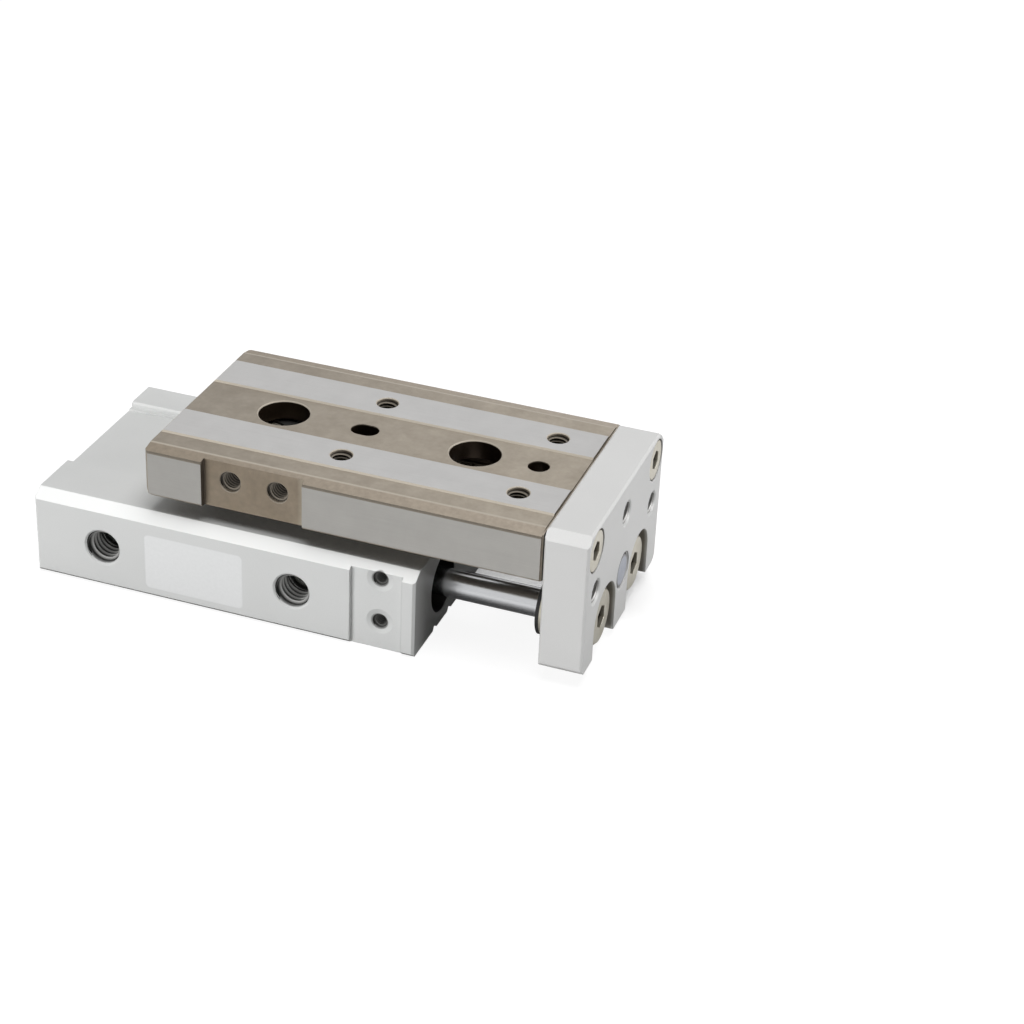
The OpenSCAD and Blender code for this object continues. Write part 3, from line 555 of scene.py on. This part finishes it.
def thread_ridge(name, mouth, outward, radius, pitch, depth, shader, body, slot):
    """One helical ridge on the wall of a tapped hole, with its ends run out into the wall."""
    outward = Vector(outward).normalized()
    u = outward.orthogonal().normalized()
    v = outward.cross(u)
    per_turn = 40
    run_out = 14
    root_r = radius + 0.02
    sunk_r = radius + 0.04
    crest_r = radius - 0.56 * pitch
    start = 0.6 * pitch
    count = int((depth - start - 0.7 * pitch) / pitch * per_turn)
    bm = bmesh.new()
    rings = []
    heights = []
    for i in range(count + 1):
        angle = -2 * math.pi * i / per_turn
        depth_here = start + pitch * i / per_turn
        fade = min(1.0, i / run_out, (count - i) / run_out)
        crest = root_r - (root_r - crest_r) * fade
        arm = u * math.cos(angle) + v * math.sin(angle)
        ring = []
        # each corner's radius, and its place along the axis in pitches
        for r, dz in ((sunk_r, 0.44), (crest, 0.08), (crest, -0.08), (sunk_r, -0.44)):
            point = Vector(mouth) + arm * r - outward * (depth_here + dz * pitch)
            ring.append(bm.verts.new(point * MM))
        heights += (0.0, fade, fade, 0.0)
        rings.append(ring)
    for a, b in zip(rings, rings[1:]):
        for k in range(4):
            bm.faces.new((a[k], a[(k + 1) % 4], b[(k + 1) % 4], b[k]))
    bm.faces.new(rings[0][::-1])
    bm.faces.new(rings[-1])
    bmesh.ops.recalc_face_normals(bm, faces=bm.faces)
    mesh = bpy.data.meshes.new(name)
    bm.to_mesh(mesh)
    bm.free()
    mesh.attributes.new("crest", "FLOAT", "POINT").data.foreach_set("value", heights)
    mesh.materials.append(shader.mat)
    obj = bpy.data.objects.new(name, mesh)
    bpy.context.collection.objects.link(obj)
    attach(obj, body)


def pattern(name, along, across=(0, 0, 0), pitch_y=0.0):
    """Centres of a mount's holes."""
    centre = mount(name)
    dims = MOUNTS[name]["dims"]
    pitch_x = dims.get("spacing_x_mm", 0.0)
    steps = (-0.5, 0.5) if pitch_x else (0,)
    rows = (-0.5, 0.5) if pitch_y else (0,)
    return [centre + Vector(along) * pitch_x * i + Vector(across) * pitch_y * j for i in steps for j in rows]


# radius and pitch of each size of thread, and what the threads of each piece are made of
SIZES = {"M2": (1.0, 0.4), "M3": (1.5, 0.5), "M4": (2.0, 0.7), "M5": (2.5, 0.8)}
ON_BODY = ("base", "body_alloy")
ON_TABLE = ("carriage", "table_steel")
ON_PLATE = ("carriage", "plate_alloy")
PORT_SIDE = (0, -1, 0)

# each: name, mouth, way out, size, depth in millimetres, shader, body and slot
threads = []
for port in ("port_rear", "port_front"):
    mouth = mount(port)
    mouth.y = -BODY_SIDE
    threads.append((port, mouth, PORT_SIDE, "M5", 4.5, thread_alloy_s, ON_BODY))
pad_half = spacing("pad_taps", "spacing_y_mm") / 2
for k in (-1, 1):
    mouth = mount("pad_taps") + Vector((0, 0, k * pad_half))
    threads.append((f"pad_{k + 1}", mouth, PORT_SIDE, "M2", 3.2, thread_dark_s, ON_BODY))
for i, mouth in enumerate(pattern("base_taps", (1, 0, 0))):
    threads.append((f"base_{i}", mouth, (0, 0, -1), "M4", 5.0, thread_alloy_s, ON_BODY))
across = spacing("table_taps", "spacing_y_mm")
for i, mouth in enumerate(pattern("table_taps", (1, 0, 0), (0, 1, 0), across)):
    threads.append((f"table_{i}", mouth, (0, 0, 1), "M3", 3.9, thread_steel_s, ON_TABLE))
for i, mouth in enumerate(pattern("table_side_taps", (1, 0, 0))):
    threads.append((f"side_{i}", mouth, PORT_SIDE, "M3", 4.8, thread_steel_s, ON_TABLE))
plate_t = PLATE_FRONT - PLATE_BACK
for i, mouth in enumerate(pattern("plate_side_taps", (0, 1, 0)) + [mount("plate_top_tap")]):
    mouth.x = PLATE_FRONT
    threads.append((f"plate_{i}", mouth, (1, 0, 0), "M3", plate_t, thread_plate_s, ON_PLATE))
for name, mouth, outward, size, depth, shader, (body, slot) in threads:
    thread_ridge("thread_" + name, mouth, outward, *SIZES[size], depth, shader, body, slot)


# ---- camera ----

cam_data = bpy.data.cameras.new("camera")
cam_data.sensor_width = 36
cam_data.lens = 83.705
cam = bpy.data.objects.new("camera", cam_data)
bpy.context.collection.objects.link(cam)
# place in millimetres, with x from the body's rear end, and turn in degrees
cam.location = Vector((BODY_REAR + 150.062, -263.891, 176.107)) * MM
cam.rotation_euler = [math.radians(a) for a in (59.7964, -2.3951, 19.6791)]
bpy.context.scene.camera = cam

# ---- light ----

scene = bpy.context.scene
scene.view_settings.view_transform = "Standard"

# the room's strength as a light and as it is seen, and the floor's own shade and its glow
WORLD_SOFT = 0.03
WORLD_WHITE = 1.0
FLOOR_ALBEDO = 0.2
FLOOR_GLOW = 0.9
SOFTBOXES = {
    # name: (place, size, power)
    "overhead": ((0.06, -0.02, 0.7), (0.5, 0.5), 4.4),
    "front": ((-0.35, -0.7, 0.04), (0.6, 0.07), 5.2),
    "right": ((0.75, 0.1, 0.2), (0.5, 0.3), 2.7),
}

# the camera and reflections see a white room, which otherwise gives hardly any light
world = bpy.data.worlds.new("studio")
scene.world = world
world.use_nodes = True
room = Nodes(world.node_tree)
room_mix = room.node("MixShader")
room.link(room.seen_rays(), room_mix.inputs[0])
for i, strength in ((1, WORLD_SOFT), (2, WORLD_WHITE)):
    background = room.node("Background")
    background.inputs["Color"].default_value = (1, 1, 1, 1)
    background.inputs["Strength"].default_value = strength
    room.link(background.outputs[0], room_mix.inputs[i])
room.link(room_mix.outputs[0], room.node("OutputWorld").inputs["Surface"])

for name, (place, size, power) in SOFTBOXES.items():
    light = bpy.data.lights.new(name, "AREA")
    light.shape = "RECTANGLE"
    light.size, light.size_y = size
    light.energy = power
    obj = bpy.data.objects.new(name, light)
    # seen in reflections, the other two would clip the ground bands to white
    obj.visible_glossy = name == "right"
    bpy.context.collection.objects.link(obj)
    obj.location = place
    obj.rotation_euler = (Vector((0, 0, 0.01)) - Vector(place)).to_track_quat("-Z", "Y").to_euler()

# ---- floor ----

mesh = bpy.data.meshes.new("floor")
mesh.from_pydata([(-3, -3, 0), (3, -3, 0), (3, 3, 0), (-3, 3, 0)], [], [(0, 1, 2, 3)])
floor = bpy.data.objects.new("floor", mesh)
bpy.context.collection.objects.link(floor)
floor_mat = bpy.data.materials.new("floor_white")
floor_mat.use_nodes = True
ground = Nodes(floor_mat.node_tree)
diffuse = ground.node("BsdfDiffuse")
diffuse.inputs["Color"].default_value = (FLOOR_ALBEDO, FLOOR_ALBEDO, FLOOR_ALBEDO, 1)
ao = ground.node("AmbientOcclusion", samples=5)
ao.inputs["Distance"].default_value = 0.02
place = ground.node("NewGeometry").outputs["Position"]
reach = ground.node("VectorMath", operation="LENGTH")
ground.link(place, reach.inputs[0])
# to the camera the glow fades only under the object's far half, a painted shade, and rises far out,
# where the lamps fall off
near_side = ground.step(ground.axes(place)["Y"], 6 * MM, 2 * MM, FLOOR_GLOW)
to_camera = ground.math("MAXIMUM", ground.step(ao.outputs["AO"], 0.28, 0.42, FLOOR_GLOW), near_side)
to_camera = ground.math("MAXIMUM", to_camera, ground.step(reach.outputs["Value"], 0.1, 0.6))
# in reflections it fades all round the object, a painted shade
in_reflections = ground.step(ao.outputs["AO"], 0.35, 0.95, FLOOR_GLOW)
glow = ground.mix_f(ground.node("LightPath").outputs["Is Glossy Ray"], to_camera, in_reflections)
emission = ground.node("Emission")
ground.link(ground.math("MULTIPLY", ground.seen_rays(), glow), emission.inputs["Strength"])
both = ground.node("AddShader")
ground.link(diffuse.outputs[0], both.inputs[0])
ground.link(emission.outputs[0], both.inputs[1])
ground.link(both.outputs[0], ground.node("OutputMaterial").inputs["Surface"])
floor.data.materials.append(floor_mat)
